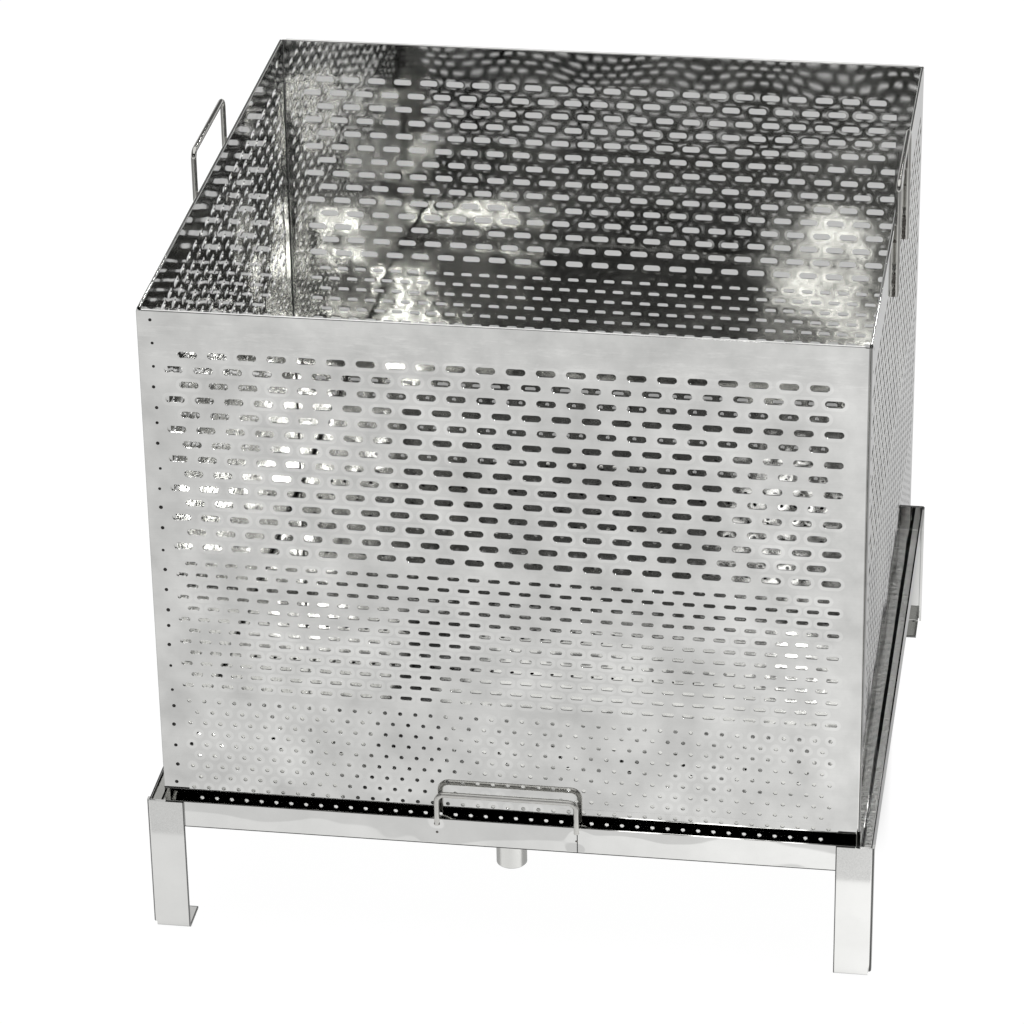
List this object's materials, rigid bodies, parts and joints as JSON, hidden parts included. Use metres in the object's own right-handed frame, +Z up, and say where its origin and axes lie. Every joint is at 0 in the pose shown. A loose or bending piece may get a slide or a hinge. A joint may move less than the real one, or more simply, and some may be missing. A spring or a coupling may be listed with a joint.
{
  "type": "wax melter",
  "caption": "Open square basket of perforated stainless sheet with rod handles that lifts out of a shallow tray on folded legs with a drain spout, for melting wax out of comb",
  "frame": {"origin": "On the ground under the middle of the tray, level with the soles of the feet", "axes": "+Z up, -Y towards the front with the drain spout and the front tray handle, +X to the right as seen from the front"},
  "size_m": [0.5214, 0.5214, 0.5228],
  "materials": {
    "wall_steel": "bright cold-rolled stainless sheet",
    "tray_steel": "bright cold-rolled stainless sheet",
    "rod_steel": "bright drawn stainless rod",
    "spout_steel": "turned stainless pipe"
  },
  "bodies": {
    "tray": {"tray_pan": "tray_steel", "tray_handle_front": "rod_steel", "tray_handle_rear": "rod_steel", "leg_front_right": "tray_steel", "leg_front_left": "tray_steel", "leg_rear_left": "tray_steel", "leg_rear_right": "tray_steel", "drain_spout": "spout_steel"},
    "basket": {"basket_front_panel": "wall_steel", "basket_right_panel": "wall_steel", "basket_back_panel": "wall_steel", "basket_left_panel": "wall_steel", "basket_floor": "wall_steel", "basket_handle_right": "rod_steel", "basket_handle_left": "rod_steel"}
  },
  "joints": [
    {"name": "basket_lift", "type": "slide", "parent": "tray", "child": "basket", "axis": [0, 0, 1], "range_m": [0, 0.15]}
  ]
}
